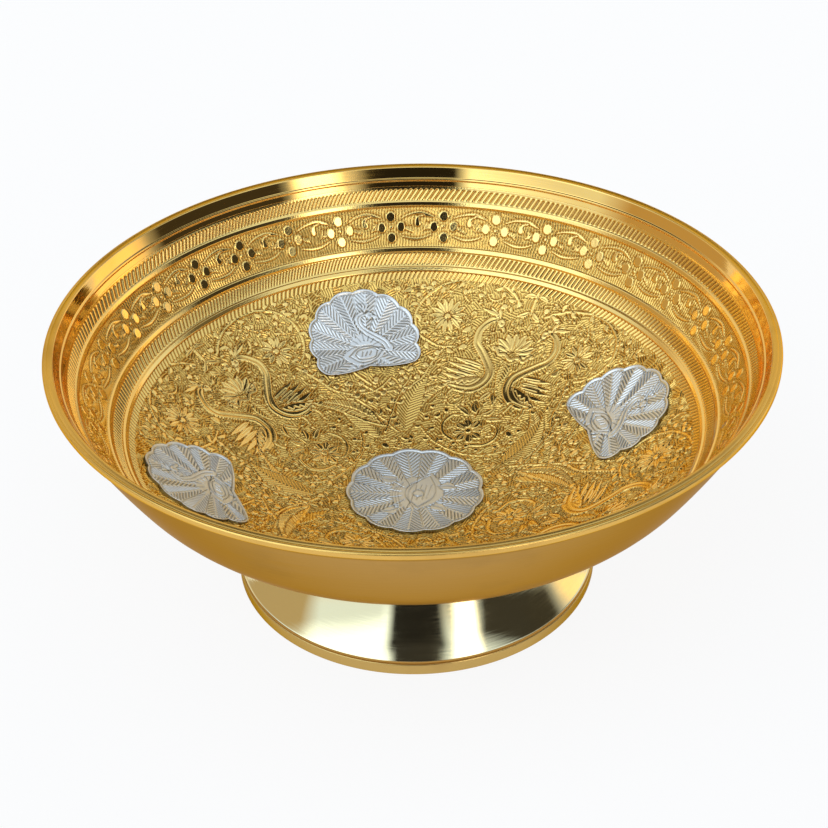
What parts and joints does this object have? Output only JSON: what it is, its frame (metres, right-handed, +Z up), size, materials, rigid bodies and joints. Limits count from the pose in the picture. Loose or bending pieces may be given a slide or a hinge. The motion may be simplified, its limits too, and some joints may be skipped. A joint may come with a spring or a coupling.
{
  "type": "footed offering bowl",
  "caption": "Wide brass dish on a flared hollow foot, engraved inside with birds and flowers round silver medallions, for holding offerings, fruit or flowers.",
  "frame": {"origin": "centre of the foot's base, on the table", "axes": "+Z up along the bowl's axis; +Y points away from the camera of the picture"},
  "size_m": [0.254, 0.254, 0.1025],
  "materials": {
    "bowl_brass": "engraved and polished inside, satin outside",
    "foot_brass": "polished skirt, satin base edge",
    "silver": "engraved silver",
    "stud_brass": "turned",
    "steel": "zinc plated"
  },
  "bodies": {
    "root": {"bowl": "bowl_brass", "foot": "foot_brass", "centre_medallion": "silver", "wall_medallion_right": "silver", "wall_medallion_back": "silver", "wall_medallion_left": "silver", "wall_medallion_front": "silver", "fixing_stud": "stud_brass", "plain_washer": "steel", "spring_washer": "steel", "hex_nut": "steel"}
  },
  "joints": []
}
